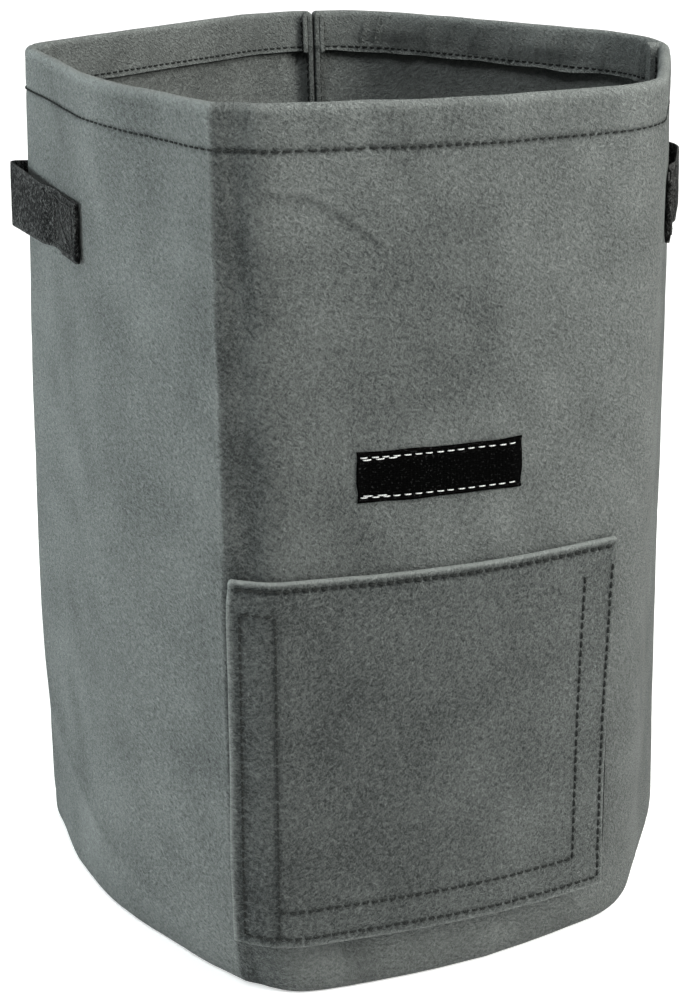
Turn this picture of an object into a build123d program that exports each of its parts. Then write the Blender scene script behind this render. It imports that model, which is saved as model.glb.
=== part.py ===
from build123d import *
import math
import os

# Felt grow bag with a harvest window in its front, closed by a flap that is hinged along its top edge.
# Millimetres, +Z up, the flap faces -Y. The origin is under the middle of the bag, on the ground.

os.makedirs("parts", exist_ok=True)

# ---- Driving dimensions ----
height = 450.0
felt = 3.0
centre_shift = (-6.2, 0.9)  # puts the middle of the bounding box on the origin

# Plan of the standing bag, anticlockwise: x, y and corner radius of each fold or bend
LEFT_FOLD, LEFT_SIDE, FRONT_FOLD, FRONT_MIDDLE, RIGHT_FRONT, RIGHT_BACK, BACK = range(7)
rim_plan = [
    (-165, 80, 30),
    (-151, -52, 250),
    (-109, -148, 38),
    (14, -161, 400),
    (114, -148, 54),
    (189, 10, 76),
    (42, 216, 72),
]
base_plan = [
    (-179, 50, 28),
    (-159, -76, 250),
    (-106, -188, 44),
    (8, -187, 400),
    (108, -158, 60),
    (185, -38, 74),
    (50, 198, 67),
]

hem_height = 25.0
hem_stitch_drop = 21.5
base_turn_height = 10.0
base_stitch_height = 6.0
seam_fin_depth = 9.0
seam_stitch_inset = 8.0
thread = 0.9
thread_proud = 0.35

flap_left, flap_right = -118.0, 86.0
flap_bottom, flap_top = 30.0, 224.0
hinge_hem_height = 8.0
hinge_gap = 0.8
tape_width = 20.0
bottom_tape_width = 16.0
tape_edge_inset = 1.2
tape_top_drop = 14.0
tape_stitch_inset = 1.8
loop_tape_thick = 1.2
body_clearance = 0.4
flap_stand_off = 3.0
window_margin = 3.0
window_top = 198.0

strip_left, strip_right = -55.5, 28.5
strip_bottom, strip_height = 260.0, 25.0
strip_thick = 2.4
strip_stitch_inset = 2.6

strap_width = 30.0
strap_thick = 3.0
strap_middle_height = 371.5
strap_patch = 42.0
patch_from_corner = 66.0
patch_stitch_inset = 3.0
grip_gap = 0.6
grip_root_offset = 4.4
left_loop_stand, left_fold_radius = 15.0, 4.0
right_loop_stand, right_fold_radius = 13.0, 30.0

panel_centre = (0.0, 20.0)
far_out = 1.6  # how far past the wall the panel wedges reach, as a multiple


# ---- Plan geometry ----
def corners_at(z):
    """The plan's corners at height z, between the base's and the rim's."""
    share = z / height
    mixed = []
    for low, high in zip(base_plan, rim_plan):
        x, y, radius = (a + (b - a) * share for a, b in zip(low, high))
        mixed.append((Vector(x + centre_shift[0], y + centre_shift[1]), radius))
    return mixed


def side_direction(corners, index):
    """Unit direction of the side that starts at a corner."""
    start = corners[index][0]
    end = corners[(index + 1) % len(corners)][0]
    return (end - start).normalized()


def outward(direction):
    return Vector(direction.Y, -direction.X)


def rounded_corner(corners, index, offset):
    """Start, middle and end of the arc at a corner of the plan, moved outward by offset."""
    point, radius = corners[index]
    before = side_direction(corners, index - 1)
    after = side_direction(corners, index)
    both = outward(before) + outward(after)
    apex = point + both * (offset / (1 + outward(before).dot(outward(after))))
    arc_radius = radius + offset
    reach = arc_radius * math.tan(math.radians(before.get_angle(after)) / 2)
    start = apex - before * reach
    end = apex + after * reach
    arc_centre = start - outward(before) * arc_radius
    middle = arc_centre + both.normalized() * arc_radius
    return start, middle, end


def plan_wire(z, offset):
    """Closed outline of the bag at height z, moved outward by offset."""
    corners = corners_at(z)
    arcs = [rounded_corner(corners, index, offset) for index in range(len(corners))]
    edges = []
    for arc, following in zip(arcs, arcs[1:] + arcs[:1]):
        edges.append(Edge.make_three_point_arc(*arc))
        edges.append(Edge.make_line(arc[2], following[0]))
    return Wire(edges).moved(Location((0, 0, z)))


blocks = {}


def block(offset):
    """Solid of full height whose sides stand offset outside the wall's outer face."""
    if offset not in blocks:
        wires = [plan_wire(0, offset), plan_wire(height, offset)]
        blocks[offset] = Part() + Solid.make_loft(wires, ruled=True)
    return blocks[offset]


shells = {}


def shell(outer, inner):
    if (outer, inner) not in shells:
        shells[(outer, inner)] = block(outer) - block(inner)
    return shells[(outer, inner)]


def band(outer, inner, low, high):
    """Ring round the whole bag between two offsets and two heights."""
    slice_box = Pos(0, 0, (low + high) / 2) * Box(900, 900, high - low)
    return shell(outer, inner) & slice_box


def on_front(outer, inner, x_range, z_range):
    """Piece of the front between two offsets, cut to a rectangle seen from the front."""
    size = (x_range[1] - x_range[0], 160, z_range[1] - z_range[0])
    middle = (sum(x_range) / 2, -180, sum(z_range) / 2)
    return shell(outer, inner) & (Pos(*middle) * Box(*size))


def prism(low_points, high_points, low, high):
    """Straight-sided solid between two outlines at two heights."""
    wires = []
    for points, z in ((low_points, low), (high_points, high)):
        wires.append(Wire.make_polygon([Vector(p.X, p.Y, z) for p in points], close=True))
    return Part() + Solid.make_loft(wires, ruled=True)


def save(piece, node):
    if len(piece.solids()) == 1:
        export_step(piece.solid(), f"parts/{node}.step")
    else:
        export_step(Compound(children=piece.solids()), f"parts/{node}.step")


# ---- Wall panels, seams and base ----
seams = {
    "left": (LEFT_FOLD, 0.0),
    "right": (RIGHT_FRONT, 0.8),
    "back": (BACK, 0.0),
}


def seam_point(name, z):
    corner, share = seams[name]
    corners = corners_at(z)
    start = corners[corner][0]
    end = corners[(corner + 1) % len(corners)][0]
    return start + (end - start) * share


def wedge_outline(first, last, between, z):
    """Outline from the bag's middle out past the wall, from one seam round to the next."""
    centre = Vector(*panel_centre)
    corners = corners_at(z)
    rim_points = [seam_point(first, z)]
    rim_points += [corners[index][0] for index in between]
    rim_points.append(seam_point(last, z))
    return [centre] + [centre + (point - centre) * far_out for point in rim_points]


def seam_slab(name, side_low, side_high, low, high):
    """Upright slab along a seam, between two distances to the anticlockwise side of it."""
    centre = Vector(*panel_centre)
    outlines = []
    for z in (0, height):
        spoke = (seam_point(name, z) - centre) * far_out
        across = outward(spoke.normalized()) * -1
        outlines.append([
            centre + across * side_low,
            centre + spoke + across * side_low,
            centre + spoke + across * side_high,
            centre + across * side_high,
        ])
    slice_box = Pos(0, 0, (low + high) / 2) * Box(900, 900, high - low)
    return prism(*outlines, 0, height) & slice_box


def seam_fin(name, side):
    """Panel edge turned into the bag at a seam; side is +1 past the seam, anticlockwise."""
    low, high = sorted((0.02 * side, felt * side))
    slab = seam_slab(name, low, high, base_turn_height + 0.5, height)
    return slab & shell(-felt / 2, -felt - seam_fin_depth)


def wall_ring():
    """Whole wall, with its hem folded inside the rim and its lower edge turned up inside."""
    ring = shell(0, -felt)
    ring += band(-felt / 2, -2 * felt, height - hem_height, height)
    ring += band(-felt / 2, -2 * felt, 0, base_turn_height)
    return ring


def wall_panel(ring, first, last, between):
    low = wedge_outline(first, last, between, 0)
    high = wedge_outline(first, last, between, height)
    panel = ring & prism(low, high, 0, height)
    return panel + seam_fin(first, 1) + seam_fin(last, -1)


def window_box():
    size = (window_right - window_left, 120, window_top - window_bottom)
    middle = ((window_left + window_right) / 2, -180, (window_top + window_bottom) / 2)
    return Pos(*middle) * Box(*size)


def seam_thread(name):
    slab = seam_slab(name, -felt - thread_proud, felt + thread_proud, base_turn_height + 4, height - 4)
    return slab & shell(-seam_stitch_inset, -seam_stitch_inset - thread)


side_tape = tape_edge_inset + tape_width + window_margin
window_left = flap_left + side_tape
window_right = flap_right - side_tape
window_bottom = flap_bottom + tape_edge_inset + bottom_tape_width + window_margin

ring = wall_ring()
front = wall_panel(ring, "left", "right", [LEFT_SIDE, FRONT_FOLD, FRONT_MIDDLE, RIGHT_FRONT])
save(front - window_box(), "wall_front_panel")
save(wall_panel(ring, "right", "back", [RIGHT_BACK]), "wall_back_right_panel")
save(wall_panel(ring, "back", "left", []), "wall_back_left_panel")

floor_slice = Pos(0, 0, felt / 2) * Box(900, 900, felt)
base = block(-2 * felt) & floor_slice
base += band(-2 * felt, -3 * felt, 0, base_turn_height)
save(base, "base_panel")

hem_row = height - hem_stitch_drop
save(band(thread_proud, -0.2, hem_row - thread / 2, hem_row + thread / 2), "rim_hem_stitching")
base_row = (base_stitch_height - thread / 2, base_stitch_height + thread / 2)
save(band(-1.5 * felt, -3 * felt - thread_proud, *base_row), "base_seam_stitching")
for seam in seams:
    save(seam_thread(seam), f"{seam}_seam_stitching")


# ---- Flap, its hinge hem and the hook-and-loop tapes ----
flap_outer = flap_stand_off + felt
hinge_height = flap_top - hinge_hem_height
tape_inner = loop_tape_thick + body_clearance
tape_low = flap_bottom + tape_edge_inset
tape_high = flap_top - tape_top_drop

tapes = {
    "left": ((flap_left + tape_edge_inset, flap_left + tape_edge_inset + tape_width), (tape_low, tape_high)),
    "right": ((flap_right - tape_edge_inset - tape_width, flap_right - tape_edge_inset), (tape_low, tape_high)),
    "bottom": (
        (flap_left + tape_edge_inset + tape_width + 0.5, flap_right - tape_edge_inset - tape_width - 0.5),
        (tape_low, tape_low + bottom_tape_width),
    ),
}


def tape_rows(name, outer, inner):
    """The two rows of thread along the long edges of one tape."""
    x_range, z_range = tapes[name]
    rows = Part()
    for end, sign in ((0, 1), (1, -1)):
        if name == "bottom":
            row = z_range[end] + sign * tape_stitch_inset
            rows += on_front(outer, inner, x_range, (row - thread / 2, row + thread / 2))
        else:
            row = x_range[end] + sign * tape_stitch_inset
            rows += on_front(outer, inner, (row - thread / 2, row + thread / 2), z_range)
    return rows


flap_width = (flap_left, flap_right)
flap_z = (flap_bottom, hinge_height - hinge_gap / 2)
hem_z = (hinge_height + hinge_gap / 2, flap_top)
save(on_front(flap_outer, flap_stand_off, flap_width, flap_z), "flap_panel")
save(on_front(flap_outer, 0, flap_width, hem_z), "flap_hinge_hem")

hinge_row = sum(hem_z) / 2
hinge_row_z = (hinge_row - thread / 2, hinge_row + thread / 2)
hinge_row_x = (flap_left + 1, flap_right - 1)
hinge_row_thread = on_front(flap_outer + thread_proud, flap_outer - 0.2, hinge_row_x, hinge_row_z)
save(hinge_row_thread, "flap_hinge_stitching")

flap_threads = Part()
window_threads = Part()
for name, (x_range, z_range) in tapes.items():
    save(on_front(flap_stand_off, tape_inner, x_range, z_range), f"flap_hook_tape_{name}")
    save(on_front(loop_tape_thick, 0, x_range, z_range), f"window_loop_tape_{name}")
    flap_threads += tape_rows(name, flap_outer + thread_proud, flap_outer - 0.2)
    window_threads += tape_rows(name, loop_tape_thick + 0.05, loop_tape_thick - 0.3)
save(flap_threads, "flap_tape_stitching")
save(window_threads, "window_tape_stitching")


# ---- Hook strip that holds the flap open ----
strip_x = (strip_left, strip_right)
strip_z = (strip_bottom, strip_bottom + strip_height)
save(on_front(strip_thick, 0, strip_x, strip_z), "hook_strip")

strip_threads = Part()
for row in (strip_z[0] + strip_stitch_inset, strip_z[1] - strip_stitch_inset):
    row_z = (row - thread / 2, row + thread / 2)
    strip_threads += on_front(strip_thick + thread_proud, strip_thick - 0.3, strip_x, row_z)
save(strip_threads, "hook_strip_stitching")


# ---- Strap handles ----
def side_frame(corner, sign):
    """Corner point, direction along the side away from it, and outward normal, at the straps' height."""
    corners = corners_at(strap_middle_height)
    along = side_direction(corners, corner) if sign > 0 else side_direction(corners, corner - 1)
    return corners[corner][0], along * sign, outward(along)


def patch_block(corner, sign, along_range, up_range, turn=0.0):
    """Upright block across the wall beside a corner, seen square to that side."""
    point, along, normal = side_frame(corner, sign)
    middle = point + along * (sum(along_range) / 2)
    origin = Vector(middle.X, middle.Y, strap_middle_height + sum(up_range) / 2)
    plane = Plane(origin=origin, x_dir=along, z_dir=normal)
    size = (along_range[1] - along_range[0], up_range[1] - up_range[0], 24)
    return plane * (Rot(0, 0, turn) * Box(*size))


def strap_end(corner, sign):
    span = (patch_from_corner, patch_from_corner + strap_patch)
    half = strap_width / 2
    return shell(strap_thick, 0) & patch_block(corner, sign, span, (-half, half))


def box_cross_threads(corner, sign):
    """Square row of thread with a cross in it, on one strap end."""
    near = patch_from_corner + patch_stitch_inset
    far = patch_from_corner + strap_patch - patch_stitch_inset
    top = strap_width / 2 - patch_stitch_inset
    skin = shell(strap_thick + thread_proud, strap_thick - 0.2)
    half = thread / 2
    cutters = [
        patch_block(corner, sign, (near, far), (top - half, top + half)),
        patch_block(corner, sign, (near, far), (-top - half, -top + half)),
        patch_block(corner, sign, (near - half, near + half), (-top, top)),
        patch_block(corner, sign, (far - half, far + half), (-top, top)),
    ]
    middle = (near + far) / 2
    diagonal = math.hypot(far - near, 2 * top) / 2
    slope = math.degrees(math.atan2(2 * top, far - near))
    for turn in (slope, -slope):
        span = (middle - diagonal, middle + diagonal)
        cutters.append(patch_block(corner, sign, span, (-half, half), turn))
    threads = Part()
    for cutter in cutters:
        threads += skin & cutter
    return threads


def strap_grip(corner, stand, fold_radius):
    """Free loop of strap round a corner of the bag, standing clear of it."""
    corners = corners_at(strap_middle_height)
    point, wall_radius = corners[corner]
    before, after = side_direction(corners, corner - 1), side_direction(corners, corner)
    half_turn = math.radians(before.get_angle(after)) / 2
    rounding = 1 / math.cos(half_turn) - 1
    fold_out = stand + strap_thick / 2 + (fold_radius - wall_radius) * rounding
    bisector = (outward(before) + outward(after)).normalized()
    root_distance = patch_from_corner - grip_gap
    path = []
    for sign in (-1, 1):
        _, along, normal = side_frame(corner, sign)
        path.append(point + along * root_distance + normal * grip_root_offset)
    path.insert(1, point + bisector * fold_out)
    line = FilletPolyline(*path, radius=fold_radius)
    strip = trace(line, line_width=strap_thick)
    low = strap_middle_height - strap_width / 2
    return Pos(0, 0, low) * extrude(strip, amount=strap_width, dir=(0, 0, 1))


handles = {
    "left": (LEFT_FOLD, left_loop_stand, left_fold_radius),
    "right": (RIGHT_BACK, right_loop_stand, right_fold_radius),
}
for name, (corner, stand, fold_radius) in handles.items():
    save(strap_end(corner, -1), f"handle_{name}_front_end")
    save(strap_end(corner, 1), f"handle_{name}_rear_end")
    save(strap_grip(corner, stand, fold_radius), f"handle_{name}_grip")
    save(box_cross_threads(corner, -1) + box_cross_threads(corner, 1), f"handle_{name}_stitching")
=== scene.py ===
import math

import bmesh
import bpy
import numpy as np
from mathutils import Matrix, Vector


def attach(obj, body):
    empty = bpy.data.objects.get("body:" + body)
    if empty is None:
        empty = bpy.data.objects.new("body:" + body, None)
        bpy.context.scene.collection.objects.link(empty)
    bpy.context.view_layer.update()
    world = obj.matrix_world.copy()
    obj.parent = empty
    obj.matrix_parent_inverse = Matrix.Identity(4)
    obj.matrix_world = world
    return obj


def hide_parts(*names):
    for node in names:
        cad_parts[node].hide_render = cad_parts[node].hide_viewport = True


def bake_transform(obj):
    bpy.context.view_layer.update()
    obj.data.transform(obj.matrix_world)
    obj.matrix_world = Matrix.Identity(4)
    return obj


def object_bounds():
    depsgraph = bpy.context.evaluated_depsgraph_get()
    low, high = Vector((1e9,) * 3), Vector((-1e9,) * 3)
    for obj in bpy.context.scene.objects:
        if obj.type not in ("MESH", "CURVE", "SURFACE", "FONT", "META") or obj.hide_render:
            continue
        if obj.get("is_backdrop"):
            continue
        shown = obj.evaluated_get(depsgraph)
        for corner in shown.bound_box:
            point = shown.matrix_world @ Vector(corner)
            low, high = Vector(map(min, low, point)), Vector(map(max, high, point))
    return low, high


# Felt grow bag: sewn wall panels, base, hinged window flap, tapes, hook strip and strap handles.
# Modelled in millimetres in the frame's axes; solid() turns them into metres.

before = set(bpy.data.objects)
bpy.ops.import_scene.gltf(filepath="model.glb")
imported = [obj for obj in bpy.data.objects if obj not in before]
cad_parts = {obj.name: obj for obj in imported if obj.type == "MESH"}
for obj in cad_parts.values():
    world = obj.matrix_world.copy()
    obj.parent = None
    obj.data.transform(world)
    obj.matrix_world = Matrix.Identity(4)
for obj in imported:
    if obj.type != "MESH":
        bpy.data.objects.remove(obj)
cad_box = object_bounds()
MM = 0.001

# ---- Plan of the standing bag: x, y and corner radius, anticlockwise from the left fold ----
LEFT_FOLD, LEFT_SIDE, FRONT_FOLD, FRONT_MIDDLE, RIGHT_FRONT, RIGHT_BACK, BACK = range(7)
RIM_PLAN = np.array([
    (-165, 80, 30), (-151, -52, 250), (-109, -148, 38), (14, -161, 400),
    (114, -148, 54), (189, 10, 76), (42, 216, 72),
], float)
BASE_PLAN = np.array([
    (-179, 50, 28), (-159, -76, 250), (-106, -188, 44), (8, -187, 400),
    (108, -158, 60), (185, -38, 74), (50, 198, 67),
], float)
CENTRE_SHIFT = np.array([-6.2, 0.9])
PANEL_CENTRE = np.array([0.0, 20.0])
HEIGHT = 450.0

# ---- Cloth ----
FELT = 2.8
LAYER = 3.1  # from one felt layer's face to the same face of the next
FACING_DEEP = 2 * LAYER - 0.3  # how deep the inside face of a doubled layer lies
HEM_DEEP = 25.0
HEM_ROW = 428.5
BASE_TURN = 10.0
BASE_ROW = 6.0
FIN_DEEP = 11.0
SEAM_ROW_DEEP = 8.0
SEAM_ROUND = 3.2
SEAM_CLEAR = 3.6  # from a seam to the panel's first flat column
SIDE_STEP = 1.6  # column spacing round the wall
THREAD = 0.5  # radius
PITCH = 4.7  # from one stitch to the next
STITCH = 3.5  # the part of it that shows

# ---- Flap, window, tapes and hook strip, as seen from the front ----
FLAP_X = (-119.5, 86.0)
FLAP_Z = (30.0, 224.0)
HINGE_ROW = 219.9
FOLD_UNDER_TO = 218.3
FOLD_HALF = 2.1  # half the height of the pressed stack of two layers at the fold
FLAP_STAND = 2 * LAYER - 0.2  # how far its outer face stands off the wall
PRESSED_Z = 212.0  # the stack is pressed flatter from here up to the row
TAPE_INSET = 1.8
LOOP_FACE = 1.15  # how far the loop tapes' rows of thread stand off the wall
TAPE_Z = (32.7, 210.0)
TAPES = {
    "left": ((-116.8, -96.8), TAPE_Z),
    "right": ((64.8, 84.8), TAPE_Z),
    "bottom": ((-96.3, 64.3), (32.7, 51.5)),
}
WINDOW_X = (-93.8, 61.8)
WINDOW_Z = (53.0, 198.0)
FLAP_RISE = (3.0, 2.0, 1.5)  # rise of the flap's lower edge: at the left, more at the right, mid-way
FLAP_LEAN = 2.5  # how much further left its lower edge hangs
FLAP_TAPER = 8.5  # and its lower right corner on top of that
STRIP_X = (-55.5, 29.2)
STRIP_Z = (260.0, 285.0)
STRIP_INSET = 2.6
STRIP_PITCH, STRIP_STITCH = 5.2, 3.4

# ---- Sizes of the strap handles; each has a front half, sign -1, and a rear half, sign 1 ----
STRAP_Z = (355.5, 387.5)
STRAP_THICK = 1.35
PATCH_NEAR, PATCH_FAR = 66.0, 110.0
TURNED_UNDER = 88.0  # where the strap's folded-under end stops
STEP_DOWN = 12.0  # length over which the strap comes down from its folded-under end
HANDLES = {  # corner, how far the loop stands off it, fold radius
    "left": (LEFT_FOLD, 10.0, 3.0),
    "right": (RIGHT_BACK, 12.0, 30.0),
}
STRAP_SLANT = {"left": {-1: -0.10, 1: 0.0}, "right": {-1: 0.0, 1: 0.0}}  # rise per millimetre from the fold
STRAP_RAISE = {"left": -1.9, "right": 4.0}
STRAP_WIDEN = {"left": 0.09, "right": 0.0}  # how much wider the strap shows at its fold
STRAP_MIDDLE = sum(STRAP_Z) / 2
STRAP_PITCH, STRAP_STITCH = 3.6, 3.0


# ---- Plan geometry ----
def unit(vectors):
    """Vectors of the same direction and length 1."""
    return vectors / np.linalg.norm(vectors, axis=-1, keepdims=True)


def run_length(points):
    """Distance along a line of points, from its first point."""
    return np.concatenate([[0], np.cumsum(np.linalg.norm(np.diff(points, axis=0), axis=1))])


def corner_arcs(plan):
    """Per corner: arc centre, radius, first angle, angle turned, and its two tangent points."""
    arcs = []
    points = plan[:, :2] + CENTRE_SHIFT
    for i, (point, radius) in enumerate(zip(points, plan[:, 2])):
        before = unit(point - points[i - 1])
        after = unit(points[(i + 1) % len(points)] - point)
        turn = math.acos(np.clip(before @ after, -1, 1))
        start = point - before * radius * math.tan(turn / 2)
        end = point + after * radius * math.tan(turn / 2)
        out = np.array([before[1], -before[0]])
        first = math.atan2(out[1], out[0])
        arcs.append((start - out * radius, radius, first, turn, start, end))
    return arcs


ARCS = {"rim": corner_arcs(RIM_PLAN), "base": corner_arcs(BASE_PLAN)}


def outline(level, g):
    """Points and outward normals of the rim's or base's outline; g counts arcs and straights, 0 to 14."""
    g = np.mod(np.asarray(g, float), 14.0)
    edge = np.minimum(g.astype(int), 13)
    share = g - edge
    points = np.zeros(g.shape + (2,))
    normals = np.zeros(g.shape + (2,))
    arcs = ARCS[level]
    for i, (centre, radius, first, turn, start, end) in enumerate(arcs):
        on_arc = edge == 2 * i
        angle = first + turn * share[on_arc]
        normals[on_arc] = np.stack([np.cos(angle), np.sin(angle)], -1)
        points[on_arc] = centre + radius * normals[on_arc]
        straight = edge == 2 * i + 1
        following = arcs[(i + 1) % len(arcs)][4]
        points[straight] = end + (following - end) * share[straight][:, None]
        normals[straight] = (math.cos(first + turn), math.sin(first + turn))
    return points, normals


def ring(g, z):
    """Points and normals of the wall's outer face before any bulge, at edge counts g and heights z."""
    g, z = np.broadcast_arrays(np.asarray(g, float), np.asarray(z, float))
    rise = (z / HEIGHT)[..., None]
    low, low_normal = outline("base", g)
    high, high_normal = outline("rim", g)
    return low + (high - low) * rise, low_normal + (high_normal - low_normal) * rise


G_TABLE = np.linspace(0, 14, 14 * 160 + 1)
_middle, _ = ring(G_TABLE, np.full(G_TABLE.shape, HEIGHT / 2))
S_TABLE = run_length(_middle)
S_TABLE -= np.interp(2 * FRONT_FOLD + 0.5, G_TABLE, S_TABLE)
ROUND = S_TABLE[-1] - S_TABLE[0]


def g_of(s):
    """Edge count of a distance along the wall from the front fold, at middle height."""
    wrapped = np.mod(np.asarray(s, float) - S_TABLE[0], ROUND) + S_TABLE[0]
    return np.interp(wrapped, S_TABLE, G_TABLE)


def s_of(g):
    return np.interp(g, G_TABLE, S_TABLE)


def seam_s(aim):
    """Where the line from the bag's middle through a point of the plan crosses the wall."""
    spoke = aim + CENTRE_SHIFT - PANEL_CENTRE
    away = _middle - PANEL_CENTRE
    side = np.abs(away[:, 0] * spoke[1] - away[:, 1] * spoke[0])
    side[away @ spoke < 0] = 1e9
    return S_TABLE[side.argmin()]


_half_plan = (RIM_PLAN + BASE_PLAN)[:, :2] / 2
SEAMS = {
    "left": seam_s(_half_plan[LEFT_FOLD]),
    "right": seam_s(_half_plan[RIGHT_FRONT] * 0.2 + _half_plan[RIGHT_BACK] * 0.8),
    "back": seam_s(_half_plan[BACK]) + 6.0,
}
if SEAMS["left"] > 0:
    SEAMS["left"] -= ROUND


# ---- Folds, creases and puckers of the wall ----
def smooth(share):
    return share * share * (3 - 2 * share)


def soft_noise(u, v, seed, wrap=61, tall=67):
    """Smooth repeatable noise from -1 to 1 with one bump per unit, repeated after wrap and tall units."""
    table = np.random.default_rng(seed).uniform(-1, 1, (wrap, tall))
    u, v = np.broadcast_arrays(np.asarray(u, float), np.asarray(v, float))
    iu, iv = np.floor(u).astype(int), np.floor(v).astype(int)
    fu, fv = smooth(u - iu), smooth(v - iv)
    left, right, low, high = iu % wrap, (iu + 1) % wrap, iv % tall, (iv + 1) % tall
    below = table[left, low] + (table[right, low] - table[left, low]) * fu
    above = table[left, high] + (table[right, high] - table[left, high]) * fu
    return below * (1 - fv) + above * fv


def round_noise(s, z, cell, cell_z, seed):
    """soft_noise that meets itself after one turn round the bag."""
    count = max(2, round(ROUND / cell))
    return soft_noise((s - S_TABLE[0]) / ROUND * count, z / cell_z + 7, seed, count)


def hump(distance, width):
    return np.exp(-((distance / width) ** 2))


def ridge(distance, width):
    return np.exp(-np.abs(distance) / width)


# Folds by place along the wall, place up it, and size, all in millimetres.
CREASE_FOOT, CREASE_LEAN = -17.0, 10.3  # the front left crease at the ground, and its lean up to the rim
WAVES = (  # size, slant, length along, length up, seed
    (1.1, 0, 155, 170, 11), (0.42, 0.35, 58, 74, 12), (0.16, -0.5, 21, 26, 13), (0.07, 0, 7, 8, 14),
)
PULL_MARK = ((14, 37, 45, 58, 67), (413, 409, 404, 393, 384))  # the curved mark under the hem
HEM_DENTS = ((1.1, 59, 0.15, 5), (0.8, 114, 0, 6), (0.6, 34, 0, 7))  # depth, place, slant, half width
FOOT_SWELLS = (  # size, place, half width, height where it ends, how fast it fades
    (-5.5, -8, 26, 70, 1.5), (4.0, -128, 38, 90, 1), (4.0, -178, 30, 85, 1),
)


def crease_s(z):
    """The sharp fold that runs down the bag at its front left corner."""
    z = np.asarray(z, float)
    return CREASE_FOOT + CREASE_LEAN * z / HEIGHT + 0.6 * np.sin(z / 37)


def pull_mark(s, z):
    """Height above the curved mark under the hem, and how much the mark shows there."""
    shows = np.clip((s - 10) / 10, 0, 1) * np.clip((72 - s) / 10, 0, 1)
    return z - np.interp(s, *PULL_MARK), shows


def crease_bulge(s, z):
    """The front left crease with the hollow on its right, and the softer folds on both sides."""
    past = s - crease_s(z)
    left_part = 2.0 * np.clip(1 + past / 16, 0, 1) ** 2
    right_part = 2.0 * np.clip(1 - past / 9, 0, 1) - 1.5 * hump(past - 13, 9)
    out = np.where(past < 0, left_part, right_part) * np.clip(z / 60, 0.25, 1)
    out += 0.35 * hump(past - 8, 13) * round_noise(s + 0.05 * z, z, 5, 38, 35)
    out += 0.9 * ridge(s - 128 - 0.01 * z, 10)
    return out + 0.3 * ridge(s + 95 + 0.05 * (z - 200), 12)


def slump_bulge(s, z):
    """The line that slants down the left side, where the cloth slumps over itself."""
    along = (s + 215) / 175
    off_line = (z - 65.4 + 47 * along) * 0.87
    on_line = np.clip(1 - np.abs(along - 0.5) * 1.5, 0, 1)
    return on_line * (1.2 * ridge(off_line, 9) - 0.9 * hump(off_line + 24, 14))


def pulled_bulge(s, z):
    """Puckers and pull marks in the upper front, below the hem."""
    slant = (s - 32) * 0.5 + (z - 408)
    near_hem = np.clip(1 - np.abs(z - 408) / 26, 0, 1)
    out = 0.55 * near_hem * hump(s - 34, 30) * np.sin(slant / 5.5) * ridge(slant, 16)
    above, shows = pull_mark(s, z)
    out += shows * (1.3 * ridge(above, 2.6) - 0.7 * hump(above + 7, 6))
    out += 0.7 * hump(s - 67 + 0.1 * (z - 348), 2.4) * hump(z - 348, 26)
    crumpled = np.clip((z - 250) / 90, 0, 1) * hump(s - 50, 60)
    return out + 0.5 * crumpled * round_noise(s + 0.8 * z, z - 0.6 * s, 15, 30, 33)


def hem_bulge(s, z):
    """Dents in the hem, the groove of its row of stitches, and the gathers below it."""
    on_hem = np.clip((z - 424) / 6, 0, 1)
    out = 0.5 * on_hem * round_noise(s + 0.3 * z, z, 17, 40, 34)
    for depth, place, slant, wide in HEM_DENTS:
        out -= depth * on_hem * hump(s - place + slant * (z - 440), wide)
    along_row = 1 + 0.45 * np.cos(2 * np.pi * s / PITCH) + 0.4 * round_noise(s, 0, 16, 50, 15)
    out -= 0.62 * hump(z - HEM_ROW, 1.9) * along_row
    out += 0.28 * hump(z - 439, 7) * (1 + round_noise(s, z, 13, 30, 16))
    gather = np.clip(round_noise(s, 0, 10, 50, 17), -0.3, 1)
    return out + 0.24 * gather * hump(z - (HEM_ROW - 5), 4)


def foot_bulge(s, z):
    """How the wall bellies out and tucks in where it stands on the ground."""
    out = -2.6 * np.clip(1 - z / 22, 0, 1) ** 2
    for size, place, wide, top, fade in FOOT_SWELLS:
        out += size * hump(s - place, wide) * np.clip(1 - z / top, 0, 1) ** fade
    near_ground = np.clip(1 - np.abs(z - 14) / 20, 0, 1)
    out += 0.5 * near_ground * hump(s - 88, 26) * np.sin(((s - 88) * 0.4 + z) / 5)
    return out + hump(s + 231, 45) * (1.2 * hump(z - 260, 110) - 3.6 * hump(z - 42, 48))


def bulge(s, z):
    """How far the wall's outer face stands out from the plan, in millimetres."""
    s, z = np.broadcast_arrays(np.asarray(s, float), np.asarray(z, float))
    out = sum(size * round_noise(s + slant * z, z, *cells) for size, slant, *cells in WAVES)
    for part in (crease_bulge, slump_bulge, pulled_bulge, hem_bulge, foot_bulge):
        out += part(s, z)
    return out


def lift_z(s, z):
    """Height of a point of the wall, whose rim rises and dips a little."""
    wave = 0.55 * round_noise(s, 0, 70, 50, 18) + 0.2 * round_noise(s, 0, 19, 50, 19)
    return z + wave * np.clip(z / HEIGHT, 0, 1) ** 10


def on_wall(g, z, out):
    """Points standing out millimetres off the wall's bulged outer face."""
    g, z, out = np.broadcast_arrays(*(np.asarray(a, float) for a in (g, z, out)))
    point, normal = ring(g, z)
    s = s_of(np.mod(g, 14.0))
    xy = point + normal * (out + bulge(s, z))[..., None]
    return np.concatenate([xy, lift_z(s, z)[..., None]], -1)


FRONT_G = np.linspace(2 * LEFT_SIDE, 2 * RIGHT_BACK, 1800)


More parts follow.
